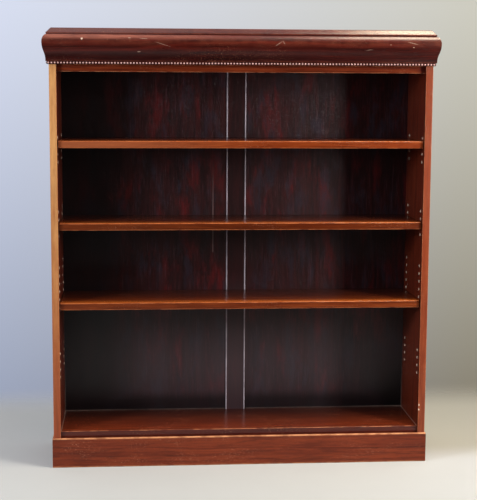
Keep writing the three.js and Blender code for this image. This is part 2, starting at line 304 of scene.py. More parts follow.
def wood(name, axis, seed, tones, roughness=0.32, coat=0.10, specular=0.3, contrast=0.8, worn=None,
         patchy=(0.25, 0.95), marks=(), flecks=0.0, matt_above=None, tint=None):
    """Polished mahogany. tones are its dark, middle and light colours; worn is the colour of rubbed
    arrises and patchy how unevenly they are rubbed; marks are chips and scratches; flecks is how
    much the many small knocks show; dust has dulled faces higher than matt_above; tint may change the
    colour."""
    graph = Graph(name)
    figure = wood_figure(graph, axis, seed)
    colour = grain_colour(graph, figure, tones, contrast)
    if tint:
        colour = tint(graph, figure, colour)
    if worn:
        colour = rubbed_arrises(graph, figure, colour, worn, patchy)
    if flecks:
        colour = knocked(graph, figure, colour, flecks)
    for mark in marks:
        colour = chipped(graph, figure["place"], colour, *mark)
    relief = graph.math("MULTIPLY_ADD", figure["pores"], -0.6, graph.product(figure["streaks"], 0.35))
    ripple = graph.noise(graph.stretch(figure["place"], along_grain(axis, 9.0, 26.0)), 1.0)
    relief = graph.math("MULTIPLY_ADD", ripple, 1.6, relief)
    return graph.finish(colour, polish(graph, figure, axis, roughness, matt_above),
                        graph.bump(relief, GRAIN_DEPTH), Coat_Weight=coat, Coat_Roughness=0.12,
                        Coat_IOR=1.5, Specular_IOR_Level=specular)


def chipped(graph, place, colour, x, z, half_length, half_height, slope=0, strength=1.0):
    """A small pale chip or scratch in the front of a piece, ragged at its edge, where the polish has
    gone. It slopes up to the right by so many degrees."""
    parts = graph.split(place)
    right, up = graph.math("SUBTRACT", parts[0], x), graph.math("SUBTRACT", parts[2], z)
    cosine, sine = math.cos(math.radians(slope)), math.sin(math.radians(slope))
    along = graph.math("MULTIPLY_ADD", up, sine, graph.product(right, cosine))
    across = graph.math("MULTIPLY_ADD", right, -sine, graph.product(up, cosine))
    along = graph.math("POWER", graph.math("DIVIDE", along, half_length), 2)
    across = graph.math("POWER", graph.math("DIVIDE", across, half_height), 2)
    uneven = graph.noise(graph.stretch(place, (420, 420, 420)), 2.0)
    ragged = graph.math("MULTIPLY_ADD", uneven, 1.4, graph.math("ADD", along, across))
    inside = graph.opposite(graph.between(ragged, 0.9, 1.5))
    in_front = graph.opposite(graph.between(parts[1], FRONT + 3 * MM, FRONT + 4 * MM))
    inside = graph.product(inside, graph.product(in_front, strength))
    return graph.mix(inside, colour, CHIPPED)


def plain_wood(name, axis, seed):
    """Unpolished pine, gone brown, with saw marks across it."""
    graph = Graph(name)
    figure = wood_figure(graph, axis, seed)
    value = graph.math("MULTIPLY_ADD", figure["rings"], 0.7, graph.product(figure["bands"], 0.3))
    dark, middle, light = rgb(120, 84, 48), rgb(160, 122, 78), rgb(186, 152, 104)
    colour = graph.ramp(graph.contrast(value, 2.2), ((0.1, dark), (0.5, middle), (0.9, light)))
    stains = graph.between(figure["patches"], 0.45, 0.75)
    colour = graph.mix(graph.product(stains, 0.45), colour, rgb(88, 62, 40))
    saw = graph.noise(graph.stretch(figure["place"], along_grain(axis, 420.0, 6.0)), 2.0, 0.7)
    height = graph.math("ADD", graph.product(saw, 0.7), figure["streaks"])
    return graph.finish(colour, graph.spread(saw, 0.62, 0.85), graph.bump(height, 0.0004))


def metal(name, colour, dull, roughness, metallic=1.0):
    """Brass or steel with a patchy tarnish and fine scratches."""
    graph = Graph(name)
    place = graph.position()
    tarnish = graph.between(graph.noise(graph.stretch(place, (260, 260, 260)), 4.0, 0.6), 0.38, 0.66)
    mixed = graph.mix(tarnish, colour, dull)
    scratches = graph.noise(graph.stretch(place, (4000, 900, 900)), 2.0)
    rough = graph.spread(tarnish, roughness, roughness + 0.25)
    rough = graph.math("ADD", rough, graph.spread(scratches, -0.05, 0.05))
    return graph.finish(mixed, rough, graph.bump(scratches, 0.00002), Metallic=metallic)


# ---- Mesh building ----
SMOOTH_ANGLE = math.radians(38)
SHARP_ANGLE = math.radians(50)
ARRIS_SEGMENTS = 3


def as_object(name, shape, finish=None):
    mesh = bpy.data.meshes.new(name)
    shape.normal_update()
    shape.to_mesh(mesh)
    shape.free()
    mesh.polygons.foreach_set("use_smooth", [True] * len(mesh.polygons))
    mesh.set_sharp_from_angle(angle=SMOOTH_ANGLE)
    if finish:
        mesh.materials.append(finish)
    piece = bpy.data.objects.new(name, mesh)
    scene.collection.objects.link(piece)
    return piece


def settle(piece, body, slot, *nodes):
    """Puts a finished piece on its CAD body, and lets it stand for CAD nodes."""
    even = piece.modifiers.new("even_normals", "WEIGHTED_NORMAL")
    even.keep_sharp = True
    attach(piece, body)
    if nodes:
        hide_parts(*nodes)


def rounded_box(low, high, radius, front_radius=None):
    """A board with softened arrises. The two long front arrises can be rounder than the rest.
    The wear attribute is 1 in the middle of each arris and 0 on the flats."""
    shape = bmesh.new()
    bmesh.ops.create_cube(shape, size=1.0)
    centre, size = (low + high) / 2, high - low
    for vertex in shape.verts:
        vertex.co = Vector(centre[i] + vertex.co[i] * size[i] for i in range(3))
    if front_radius:
        near = [edge for edge in shape.edges if all(abs(v.co.y - low.y) < TOUCHING for v in edge.verts)]
        near = [edge for edge in near if abs(edge.verts[0].co.z - edge.verts[1].co.z) < TOUCHING]
        bmesh.ops.bevel(shape, geom=near, offset=front_radius, segments=ARRIS_SEGMENTS + 2,
                        profile=0.5, affect="EDGES", clamp_overlap=True)
    sharp = [edge for edge in shape.edges if edge.calc_face_angle(0) > SHARP_ANGLE]
    bmesh.ops.bevel(shape, geom=sharp, offset=radius, segments=ARRIS_SEGMENTS,
                    profile=0.5, affect="EDGES", clamp_overlap=True)
    wear = shape.verts.layers.float.new("wear")
    for vertex in shape.verts:
        gaps = [min(abs(vertex.co[i] - low[i]), abs(vertex.co[i] - high[i])) for i in range(3)]
        vertex[wear] = 0.0 if min(gaps) < TOUCHING else 1.0
    return shape


def lathe(shape, profile, place, direction, steps=24):
    """Turns a profile of (radius, distance) points round a line from place along direction."""
    turn = Vector((0, 0, 1)).rotation_difference(direction).to_matrix()
    angles = [2 * math.pi * i / steps for i in range(steps)]
    rings = []
    for radius, distance in profile:
        around = angles if radius else angles[:1]
        points = [Vector((radius * math.cos(a), radius * math.sin(a), distance)) for a in around]
        rings.append([shape.verts.new(place + turn @ point) for point in points])
    for lower, upper in zip(rings, rings[1:]):
        for i in range(steps):
            corners = [lower[i % len(lower)], lower[(i + 1) % len(lower)],
                       upper[(i + 1) % len(upper)], upper[i % len(upper)]]
            shape.faces.new(dict.fromkeys(corners))


def prism(shape, ends):
    """Closes two matching rings of vertices into a solid."""
    first, second = ends
    for i in range(len(first)):
        j = (i + 1) % len(first)
        shape.faces.new((first[i], second[i], second[j], first[j]))
    shape.faces.new(first[::-1])
    shape.faces.new(second)
    bmesh.ops.recalc_face_normals(shape, faces=shape.faces)


def carve(piece, cutter_shape):
    """Cuts a closed shape out of a piece, and keeps the cut as plain mesh."""
    cutter = as_object("cutter", cutter_shape)
    cut = piece.modifiers.new("cut", "BOOLEAN")
    cut.operation, cut.solver, cut.object = "DIFFERENCE", "EXACT", cutter
    bpy.context.view_layer.update()
    evaluated = piece.evaluated_get(bpy.context.evaluated_depsgraph_get())
    mesh = bpy.data.meshes.new_from_object(evaluated)
    piece.modifiers.clear()
    piece.data = mesh
    mesh.set_sharp_from_angle(angle=SMOOTH_ANGLE)
    bpy.data.objects.remove(cutter)


def arc(out, height, radius, start, end, steps, wear=0.0):
    """Points of an arc in a profile, as (out, height, wear)."""
    angles = [math.radians(start + (end - start) * i / steps) for i in range(steps + 1)]
    return [(out + radius * math.cos(a), height + radius * math.sin(a), wear) for a in angles]


def spline(points, steps):
    """A smooth curve through (out, height, wear) points."""
    curved = []
    padded = [points[0], *points, points[-1]]
    for before, start, end, after in zip(padded, padded[1:], padded[2:], padded[3:]):
        for i in range(steps):
            t = i / steps
            curved.append(tuple(
                0.5 * (2 * b + (c - a) * t + (2 * a - 5 * b + 4 * c - d) * t ** 2
                       + (3 * b - a - 3 * c + d) * t ** 3)
                for a, b, c, d in zip(before, start, end, after)))
    return [*curved, points[-1]]


def moulding(profile, side):
    """A profile carried along the front, or along the left or right side, and mitred in the corner.
    Profile points are (distance out from the carcass, height, wear), in millimetres."""
    shape = bmesh.new()
    wear = shape.verts.layers.float.new("wear")
    rings = []
    ends = {"front": ((-1, -1), (1, -1)), "left": ((-1, 1), (-1, -1)), "right": ((1, -1), (1, 1))}[side]
    for x_sign, y_sign in ends:
        ring = []
        for out, height, rubbed in profile:
            x = x_sign * (HALF + out * MM)
            y = FRONT - out * MM if y_sign < 0 else REAR
            ring.append(shape.verts.new((x, y, height * MM)))
            ring[-1][wear] = rubbed
        rings.append(ring)
    prism(shape, rings)
    return shape


# ---- Finishes ----
CASE_TONES = (rgb(63, 20, 9), rgb(112, 43, 20), rgb(140, 62, 30))
SHELF_TONES = (rgb(75, 24, 7), rgb(114, 46, 16), rgb(140, 64, 25))
CORNICE_TONES = (rgb(36, 6, 4), rgb(64, 15, 9), rgb(94, 28, 18))
BACK_TONES = (rgb(20, 6, 7), rgb(36, 11, 12), rgb(56, 17, 17))
SHELF_SHADES = {"upper": 1.05, "middle": 0.58, "lower": 0.80}
WORN = rgb(190, 122, 82)
CORNICE_WORN = rgb(120, 60, 42)
# Pale colour for the muntin's reeds: partly bloom, partly a painted highlight down each edge
REED_BLOOM_AND_SHEEN = rgb(170, 160, 168)


def shaded(tones, factor):
    """The same wood, lighter or darker."""
    return tuple((*(part * factor for part in tone[:3]), 1.0) for tone in tones)


brass = metal("brass", rgb(170, 136, 84), rgb(104, 82, 56), 0.35)
sleeve_metal = metal("sleeve_brass", rgb(232, 212, 190), rgb(190, 164, 144), 0.42, metallic=0.45)
steel = metal("steel", rgb(128, 124, 120), rgb(76, 62, 52), 0.4)


# ---- Age, dust, and painted light and shade on each piece of wood ----
def faded_lit_and_shaded(pale, amount, start):
    """The front edge of the board is paler, partly real fading and partly a painted highlight that grows
    towards the top of the case, where the lamps are nearest; the board's other faces are darker."""
    def tint(graph, figure, colour):
        parts = graph.split(figure["place"])
        height = graph.between(parts[2], start, 1.3)
        edge = graph.opposite(graph.between(parts[1], FRONT + 0.5 * MM, FRONT + 2.0 * MM))
        outward = graph.between(graph.math("ABSOLUTE", parts[0]), INNER + 0.5 * MM, INNER + 2.0 * MM)
        inward = graph.opposite(graph.math("MAXIMUM", outward, edge))
        colour = graph.mix(graph.product(inward, 0.45), colour, rgb(70, 18, 14))
        # Painted highlight, with some real fading: the front edge pales towards the top of the case
        bleached_and_lit = graph.product(height, edge)
        bleached_and_lit = graph.product(bleached_and_lit, graph.spread(figure["mottle"], amount - 0.8, amount + 0.8))
        lightest = graph.mix(graph.between(parts[2], 0.0, 0.9), rgb(184, 92, 48), pale)
        return graph.mix(bleached_and_lit, colour, lightest)
    return tint


# The left front edge is paler than the right: partly fading, partly a painted highlight from the left lamp
EDGE_TINTS = {"left": faded_lit_and_shaded(rgb(210, 154, 96), 0.85, -0.6), "right": faded_lit_and_shaded(rgb(158, 80, 48), 0.25, -2.5)}


def shaded_to_back(graph, figure, colour):
    """Painted shade: the board darkens towards the back, under the board or shelf above it."""
    depth = graph.between(graph.split(figure["place"])[1], FRONT + 0.03, PANEL_FRONT)
    return graph.mix(graph.product(depth, 0.85), colour, rgb(46, 20, 16))


def front_edge(graph, place, node):
    """1 on the front edge of a board, 0 on the rest of it."""
    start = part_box(node)[0].y + MM
    return graph.opposite(graph.between(graph.split(place)[1], start, start + MM))


def dusted(graph, figure, colour, where, amount):
    """Pale dust, uneven along its length."""
    uneven = graph.spread(graph.noise(graph.stretch(figure["place"], (45, 45, 45)), 3.0), 0.1, 1.3)
    dust = graph.product(graph.product(where, uneven), amount)
    return graph.mix(dust, colour, rgb(172, 146, 132))


def top_lit_back_shaded(node, amount, pale_end):
    """Painted shade towards the back, a painted highlight warming the front of the top face,
    and a paler left end to the front edge.
    """
    low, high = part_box(node)

    def tint(graph, figure, colour):
        parts = graph.split(figure["place"])
        front = graph.between(parts[1], low.y + 55 * MM, low.y + 8 * MM)
        top = graph.between(parts[2], high.z - 1.2 * MM, high.z - 0.2 * MM)
        # Painted highlight along the front of the top face
        painted_glow = graph.product(graph.product(front, top), amount)
        colour = graph.mix(painted_glow, shaded_to_back(graph, figure, colour), rgb(196, 100, 34))
        leftward = graph.product(graph.between(parts[0], 0.1, -0.5), pale_end)
        edge = front_edge(graph, figure["place"], node)
        return graph.mix(graph.product(edge, leftward), colour, rgb(182, 108, 70))
    return tint


def bottom_shade_and_dust(graph, figure, colour):
    """Painted shade towards the back and on the front edge, and dust lines the side joints."""
    edge = front_edge(graph, figure["place"], "bottom_board")
    # Painted shade: the front edge is darkened
    colour = graph.mix(graph.product(edge, 0.75), shaded_to_back(graph, figure, colour), rgb(60, 18, 17))
    outward = graph.math("ABSOLUTE", graph.split(figure["place"])[0])
    joint = graph.between(outward, INNER - 3.4 * MM, INNER - 2.2 * MM)
    joint = graph.product(joint, graph.opposite(edge))
    return dusted(graph, figure, colour, joint, 0.75)


def rail_painted_shadow(graph, figure, colour):
    """Painted shade towards the back, and painted shadow on the front edge along its upper
    half and at its right end.
    """
    edge = front_edge(graph, figure["place"], "top_board")
    parts = graph.split(figure["place"])
    upper = graph.product(graph.between(parts[2], 1239 * MM, 1244 * MM), 0.25)
    end = graph.product(graph.between(parts[0], INNER - 32 * MM, INNER - 10 * MM), 0.65)
    # Painted shadow: under the cornice, and beside the right side
    dark = graph.product(edge, graph.math("MAXIMUM", upper, end))
    return graph.mix(dark, shaded_to_back(graph, figure, colour), rgb(46, 12, 18))


# The line scored in the left panel: its place across, its foot, and where it has faded out
SCORE_ACROSS = -75.5 * MM
SCORE_FOOT = 640 * MM
SCORE_TOP = 980 * MM


def varnish_and_reflection(graph, figure, colour):
    """The old varnish is clear and red in places, grey with bloom in others, and finely rubbed;
    low in the case it greys further, a painted reflection of the floor.
    """
    place = figure["place"]
    clear = graph.noise(graph.stretch(place, (15, 15, 4.0), (3, 1, 4)), 6.0, 0.68)
    colour = graph.mix(graph.product(graph.between(clear, 0.50, 0.66), 0.75), colour, rgb(80, 15, 16))
    grey = graph.noise(graph.stretch(place, (22, 22, 7.0), (7, 2, 9)), 6.0, 0.72)
    colour = graph.mix(graph.product(graph.between(grey, 0.48, 0.66), 0.7), colour, rgb(38, 32, 42))
    rubs = graph.noise(graph.stretch(place, (330, 330, 16), (2, 8, 5)), 3.0, 0.6)
    colour = graph.mix(graph.product(graph.between(rubs, 0.56, 0.70), 0.35), colour, rgb(84, 54, 60))
    # Painted reflection: greyer low in the case
    low = graph.between(graph.split(place)[2], 0.52, 0.30)
    return graph.mix(graph.product(low, graph.spread(figure["bands"], 0.0, 0.7)), colour, rgb(58, 50, 56))


def scored(graph, figure, colour):
    """A fine upright line in the front of the left panel, fainter towards its top."""
    parts = graph.split(figure["place"])
    beside = graph.math("ABSOLUTE", graph.math("SUBTRACT", parts[0], SCORE_ACROSS))
    line = graph.between(beside, 1.8 * MM, 0.8 * MM)
    line = graph.product(line, graph.between(parts[1], PANEL_FRONT + 1.5 * MM, PANEL_FRONT + 1.0 * MM))
    line = graph.product(line, graph.between(parts[2], SCORE_FOOT, SCORE_FOOT + 6 * MM))
    line = graph.product(line, graph.between(parts[2], SCORE_TOP, SCORE_TOP - 280 * MM))
    return graph.mix(graph.product(line, 0.75), colour, rgb(122, 100, 98))


def back_shade_and_dust(graph, figure, colour):
    """The back, with painted shade at its left end and in its lower right corner and a dark painted
    reflection along its foot, and dust in its joints with the floor of the case and the sides."""
    colour = scored(graph, figure, varnish_and_reflection(graph, figure, colour))
    parts = graph.split(figure["place"])
    # Painted shade at the left end and lower right corner; dark painted reflection along the foot
    left = graph.product(graph.between(parts[0], -0.32, -0.45), 0.85)
    foot = graph.product(graph.between(parts[2], FLOOR_TOP + 70 * MM, FLOOR_TOP + 30 * MM), 0.75)
    right = graph.product(graph.between(parts[0], 0.38, 0.53), graph.between(parts[2], 0.45, 0.15))
    dark = graph.math("MAXIMUM", left, graph.math("MAXIMUM", foot, right))
    colour = graph.mix(dark, colour, rgb(9, 6, 7))
    outward = graph.math("ABSOLUTE", parts[0])
    joint = graph.between(parts[2], FLOOR_TOP + 4.5 * MM, FLOOR_TOP + 2.5 * MM)
    amount = graph.spread(graph.between(outward, 0.30, 0.55), 0.14, 0.45)
    colour = dusted(graph, figure, colour, joint, amount)
    side_joint = graph.between(outward, INNER - 3.5 * MM, INNER - 2.0 * MM)
    side_joint = graph.product(side_joint, graph.between(parts[2], 0.30, 0.15))
    return dusted(graph, figure, colour, side_joint, 0.25)


# ---- Plinth ----
def build_plinth():
    """The boards' outer face is proud of the case, and its upper arris is round."""
    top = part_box("plinth_front")[1].z / MM
    ledge = CASE_BOTTOM / MM
    profile = [(-14, 0, 0), (1, 0, 0), *arc(1.5, 2.5, 2.5, -90, 0, 6, 0.6), (4, 5, 0), (4, 89, 0),
               *arc(1, top - 3, 3, 0, 90, 8, 1.0), (0, top, 0), (0, ledge, 0), (-14, ledge, 0)]
    for seed, (side, axis) in enumerate(LENGTHS):
        # The rubbed arrises are pale: partly wear, partly a painted highlight, most on the upper arris
        finish = wood(f"plinth_{side}_mahogany", axis, 40 + seed, shaded(CASE_TONES, 0.95), specular=0.2,
                      worn=rgb(208, 142, 98), patchy=(0.35, 1.0), flecks=0.5)
        piece = as_object(f"plinth_{side}_board", moulding(profile, side), finish)
        settle(piece, "carcass", "case_mahogany", f"plinth_{side}")


# ---- Carcass ----
def peg_places(row):
    """Where each hole in a column is, as (y, z)."""
    low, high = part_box(f"peg_upper_{row}_right")
    y = (low.y + high.y) / 2
    return [(y, lowest + i * HOLE_PITCH) for lowest, count in HOLE_RUNS for i in range(count)]


def peg_hole_cutter(sign):
    rim = 0.6 * MM
    profile = ((0, -MM), (HOLE_RADIUS + rim, -MM), (HOLE_RADIUS + rim, 0), (HOLE_RADIUS, rim),
               (HOLE_RADIUS, HOLE_DEPTH), (0, HOLE_DEPTH + MM))
    shape = bmesh.new()
    for row in ROWS:
        for y, z in peg_places(row):
            lathe(shape, profile, Vector((sign * INNER, y, z)), Vector((sign, 0, 0)), steps=16)
    bmesh.ops.recalc_face_normals(shape, faces=shape.faces)
    return shape


# A sleeve's section, from its inner end round its rim, as (radius, depth) in millimetres
SLEEVE = ((3.3, 2.0), (3.3, -0.5), (3.6, -0.9), (4.6, -0.7), (4.9, 0.0), (4.9, 0.3), (3.3, 2.0))
# How far the top and bottom boards run into the sides' housings
HOUSED = 2 * MM
# Two nicks low on the inner arris of the right side: x, z, half length and half height
STILE_NICKS = ((INNER + 1.5 * MM, 169 * MM, 4 * MM, 4 * MM), (INNER + 2.5 * MM, 184 * MM, 3 * MM, 4 * MM))


def build_sides():
    for side, sign in SIDES:
        low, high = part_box(f"{side}_side")
        finish = wood(f"{side}_side_mahogany", "Z", 11 + sign, CASE_TONES, contrast=1.0, worn=WORN,
                      marks=STILE_NICKS, flecks=0.25, tint=EDGE_TINTS[side])
        piece = as_object(f"{side}_side_board", rounded_box(low, high, 1.2 * MM), finish)
        carve(piece, peg_hole_cutter(sign))
        settle(piece, "carcass", "case_mahogany", f"{side}_side")
        sleeves = bmesh.new()
        profile = [(radius * MM, depth * MM) for radius, depth in SLEEVE]
        for row in ROWS:
            for y, z in peg_places(row):
                lathe(sleeves, profile, Vector((sign * INNER, y, z)), Vector((sign, 0, 0)), steps=16)
        bmesh.ops.remove_doubles(sleeves, verts=sleeves.verts, dist=TOUCHING)
        bmesh.ops.recalc_face_normals(sleeves, faces=sleeves.faces)
        settle(as_object(f"{side}_peg_sleeves", sleeves, sleeve_metal), "carcass", "brass_pegs")


def build_boards():
    for seed, node in enumerate(("bottom_board", "top_board")):
        low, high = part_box(node)
        low.x, high.x = -INNER - HOUSED, INNER + HOUSED
        tint = bottom_shade_and_dust if node == "bottom_board" else rail_painted_shadow
        finish = wood(f"{node}_mahogany", "X", 20 + seed, CASE_TONES, roughness=0.24, worn=WORN,
                      patchy=(0.1, 0.8), flecks=0.3, tint=tint)
        piece = as_object(f"{node}_panel", rounded_box(low, high, 0.8 * MM, front_radius=1.6 * MM), finish)
        settle(piece, "carcass", "case_mahogany", node)


# ---- Back ----
def muntin_painted_reflection(graph, figure, colour):
    """The muntin greys towards the bottom, a painted reflection of the floor."""
    low = graph.between(graph.split(figure["place"])[2], 0.60, 0.35)
    return graph.mix(graph.product(low, 0.45), colour, rgb(72, 60, 64))


# The muntin: the radius of the reed along each edge of its face, half the width of the web between
# its grooves, and how thick it is behind the grooves
REED = 2.2 * MM
WEB = 20 * MM
BEHIND_GROOVES = 6 * MM


def muntin_outline(half, face, back):
    """The muntin seen from above, as (x, y) points: a reed at each edge of its face, and a groove
    for a panel in each side."""
    turns = [math.pi * i / 12 for i in range(1, 12)]
    front = [(-half, PANEL_FRONT), (-half, face + REED)]
    front += [(-half + REED - REED * math.cos(a), face + REED - REED * math.sin(a)) for a in turns]
    front += [(-half + 2 * REED, face + REED), (-half + 2 * REED + 0.8 * MM, face + 0.4 * MM)]
    front += [(-x, y) for x, y in reversed(front)]
    rear = back - BEHIND_GROOVES
    return front + [(WEB, PANEL_FRONT), (WEB, rear), (half, rear), (half, back),
                    (-half, back), (-half, rear), (-WEB, rear), (-WEB, PANEL_FRONT)]


def build_back():
    for side, sign in SIDES:
        low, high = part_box(f"back_panel_{side}")
        finish = wood(f"back_{side}_mahogany", "Z", 60 + sign, BACK_TONES, roughness=0.37, coat=0.0,
                      specular=0.4, contrast=1.0, tint=back_shade_and_dust)
        piece = as_object(f"back_{side}_board", rounded_box(low, high, 0.5 * MM), finish)
        settle(piece, "carcass", "back_mahogany", f"back_panel_{side}")
    build_muntin()


def build_muntin():
    """Built between the floor and the ceiling of the case only. The CAD's muntin runs on behind the
    top and bottom boards, so from behind this one leaves a gap at its head and its foot."""
    low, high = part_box("back_muntin")
    half = high.x
    outline = muntin_outline(half, low.y, high.y)
    shape = bmesh.new()
    wear = shape.verts.layers.float.new("wear")
    ends = [[shape.verts.new((x, y, z)) for x, y in outline] for z in (FLOOR_TOP, OPENING_TOP)]
    for vertex in shape.verts:
        # The reeds take the pale colour: partly bloom, partly a painted highlight
        on_reed = abs(vertex.co.x) > half - 1.9 * REED and vertex.co.y < PANEL_FRONT
        vertex[wear] = 1.0 if on_reed else 0.0
    prism(shape, ends)
    finish = wood("muntin_mahogany", "Z", 63, BACK_TONES, roughness=0.40, coat=0.0, worn=REED_BLOOM_AND_SHEEN,
                  patchy=(0.7, 1.0), tint=muntin_painted_reflection)
    settle(as_object("back_muntin_post", shape, finish), "carcass", "back_mahogany", "back_muntin")


# ---- Cornice ----
# The bead rows, in millimetres: heights, and distances out from the case
BEAD_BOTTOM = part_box("bead_front")[0].z / MM
BEAD_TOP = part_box("bead_front")[1].z / MM
BEAD_PITCH = 9.5
BEAD_RADIUS = 3.4
BEAD_OUT = (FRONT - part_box("bead_front")[0].y) / MM
BEAD_BACKING = BEAD_OUT - BEAD_RADIUS
BEAD_SEAT = BEAD_OUT - 4.5

# Chips and scratches in the cornice: x, z, half length, half height, slope in degrees and strength
CORNICE_MARKS = ((-0.487, 1.3275, 0.0042, 0.0036), (-0.345, 1.3305, 0.006, 0.0018, 0, 0.35),
                 (-0.302, 1.3285, 0.016, 0.0015, 0, 0.25), (-0.245, 1.3120, 0.030, 0.0016, -17, 0.20),
                 (-0.316, 1.2894, 0.006, 0.0017, 0, 0.40), (0.107, 1.3165, 0.016, 0.0015, 34, 0.30),
                 (0.122, 1.3188, 0.007, 0.0015, -60, 0.30), (0.384, 1.2990, 0.015, 0.0016, 8, 0.15),
                 (0.518, 1.3200, 0.022, 0.0014, -14, 0.35), (0.520, 1.3075, 0.0035, 0.0017, 0, 0.6),
                 (0.449, 1.3150, 0.004, 0.0016, 0, 0.25))


def hollow_shade_and_crown_sheen(graph, figure, colour):
    """Painted shade darkens the hollow, most at the left end, and the crown is paler towards the
    left end, partly rubbed polish and partly a painted highlight.
    """
    parts = graph.split(figure["place"])
    # Painted shade in the hollow
    hollow = graph.between(parts[2], 1.300, 1.272)
    strength = graph.spread(graph.between(parts[0], 0.0, 0.5), 0.65, 0.35)
    colour = graph.mix(graph.product(hollow, strength), colour, rgb(26, 4, 4))
    # Crown paler towards the left: partly wear, partly a painted highlight
    crown = graph.between(parts[2], 1.323, 1.333)
    crown = graph.product(crown, graph.between(figure["mottle"], 0.25, 0.6))
    leftward = graph.between(parts[0], 0.1, -0.45)
    rubbed = graph.product(crown, graph.product(leftward, 0.8))
    return graph.mix(rubbed, colour, rgb(166, 94, 74))


def cap_painted_reflection(graph, figure, colour):
    """A painted reflection greys and lightens the cap towards the left end."""
    leftward = graph.between(graph.split(figure["place"])[0], 0.0, -0.5)
    return graph.mix(graph.product(leftward, 0.4), colour, rgb(124, 78, 74))


def build_cornice():
    ogee = spline([(9, 1261, 0.3), (9, 1266.5, 0), (9.75, 1274, 0), (12, 1283, 0), (15, 1291.5, 0),
                   (17.75, 1301, 0), (19, 1309, 0.1), (19.5, 1316.5, 0.3), (19, 1324, 0.3),
                   (16.5, 1331.5, 0.2), (12.5, 1337, 0.1), (9, 1340, 0)], 4)
    profile = [(0, BEAD_BOTTOM, 0), (BEAD_SEAT, BEAD_BOTTOM, 0), (BEAD_SEAT, BEAD_TOP, 0),
               (8.8, BEAD_TOP, 0.5), *ogee, (0, CORNICE_TOP / MM, 0)]
    foot = BEAD_BOTTOM + 0.3
    strip = [(BEAD_SEAT, foot, 0), (BEAD_BACKING, foot, 0), (BEAD_BACKING, BEAD_TOP, 0),
             (BEAD_SEAT, BEAD_TOP, 0)]
    for seed, (side, axis) in enumerate(LENGTHS):
        finish = wood(f"cornice_{side}_mahogany", axis, 80 + seed, CORNICE_TONES, roughness=0.27, coat=0.0,
                      specular=0.42, contrast=1.05, worn=CORNICE_WORN, flecks=0.25,
                      marks=CORNICE_MARKS if side == "front" else (), tint=hollow_shade_and_crown_sheen)
        piece = as_object(f"cornice_{side}_moulding", moulding(profile, side), finish)
        settle(piece, "carcass", "cornice_mahogany", f"cornice_{side}")
        beads = moulding(strip, side)
        add_beads(beads, side)
        # Darker strip, painted shade between the beads; pale bead fronts, a painted highlight
        rubbed = wood(f"bead_{side}_mahogany", axis, 84 + seed, shaded(CORNICE_TONES, 0.8), coat=0.3,
                      worn=rgb(240, 190, 182), patchy=(0.75, 1.0))
        settle(as_object(f"bead_{side}_row", beads, rubbed), "carcass", "cornice_mahogany", f"bead_{side}")
    build_cap()


def add_beads(shape, side):
    """A row of round beads along a strip, evenly spaced and as near as can be to the pitch."""
    wear = shape.verts.layers.float["wear"]
    middle = (BEAD_BOTTOM + BEAD_TOP) / 2 * MM
    out = BEAD_BACKING * MM
    sign = {"left": -1, "front": 0, "right": 1}[side]
    span = 2 * (HALF + out) if side == "front" else REAR - FRONT + out
    count = round(span / (BEAD_PITCH * MM))
    steps = [(i + 0.5) * span / count for i in range(count)]
    if side == "front":
        places = [Vector((step - span / 2, FRONT - out, middle)) for step in steps]
    else:
        places = [Vector((sign * (HALF + out), REAR - step, middle)) for step in steps]
    for place in places:
        made = bmesh.ops.create_uvsphere(shape, u_segments=14, v_segments=10, radius=BEAD_RADIUS * MM,
                                         matrix=Matrix.Translation(place))
        for vertex in made["verts"]:
            away = vertex.co.y - place.y if side == "front" else (vertex.co.x - place.x) * -sign
            # The wear attribute is highest on the front of each bead, where the painted highlight goes
            vertex[wear] = max(0.0, -away / (BEAD_RADIUS * MM)) ** 2


def build_cap():
    """A board with a step, a small nose and a long slope round its front and sides."""
    nose = spline([(7.2, 1342.3, 0.3), (7.75, 1344.25, 0.6), (7.2, 1346.3, 0.3), (6.3, 1347.1, 0)], 3)
    profile = [(6.5, 1340, 0), (6.5, 1341.5, 0), *nose, (4.75, 1347.5, 0), (4.25, 1348.5, 0.2),
               (-5.6, 1358.6, 0.2), (-6.4, 1359.5, 0.6), (-8, 1360, 0.4)]
    shape = bmesh.new()
    wear = shape.verts.layers.float.new("wear")
    levels = []
    for out, height, rubbed in profile:
        x, y, z = HALF + out * MM, FRONT - out * MM, height * MM
        ring = [shape.verts.new(corner) for corner in ((-x, y, z), (x, y, z), (x, REAR, z), (-x, REAR, z))]
        for vertex in ring:
            vertex[wear] = rubbed
        levels.append(ring)
    for lower, upper in zip(levels, levels[1:]):
        for i in range(4):
            j = (i + 1) % 4
            shape.faces.new((lower[i], lower[j], upper[j], upper[i]))
    shape.faces.new(levels[0][::-1])
    shape.faces.new(levels[-1])
    finish = wood("cap_mahogany", "X", 90, CORNICE_TONES, roughness=0.22, coat=0.0, specular=0.5,
                  worn=CORNICE_WORN, flecks=0.25, matt_above=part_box("cap_board")[1].z - 0.8 * MM,
                  tint=cap_painted_reflection)
    settle(as_object("cap_board_top", shape, finish), "carcass", "cornice_mahogany", "cap_board")


# ---- Shelves, pegs and screws ----
# How much paler the left end of each shelf's front edge is
PALE_ENDS = {"upper": 0.40, "middle": 0.05, "lower": 0.05}
NOTCH_HALF_WIDTH = 4.75 * MM
NOTCH_LENGTH = 26 * MM
NOTCH_ROOM = 0.25 * MM

# Profiles of a turned peg and a screw, as (radius, distance along) in millimetres
PEG = ((0, -11.9), (2.4, -11.9), (3.0, -11.3), (3.0, 1.0), (4.0, 1.0), (4.25, 1.3), (4.25, 8.6),
       (3.9, 9.7), (3.0, 10.3), (1.4, 10.48), (0, 10.5))
SCREW = ((0, 27.9), (1.9, 23.9), (1.9, 2.5), (3.95, 0.4), (3.9, 0.1), (3.7, 0.0), (0, 0.0))
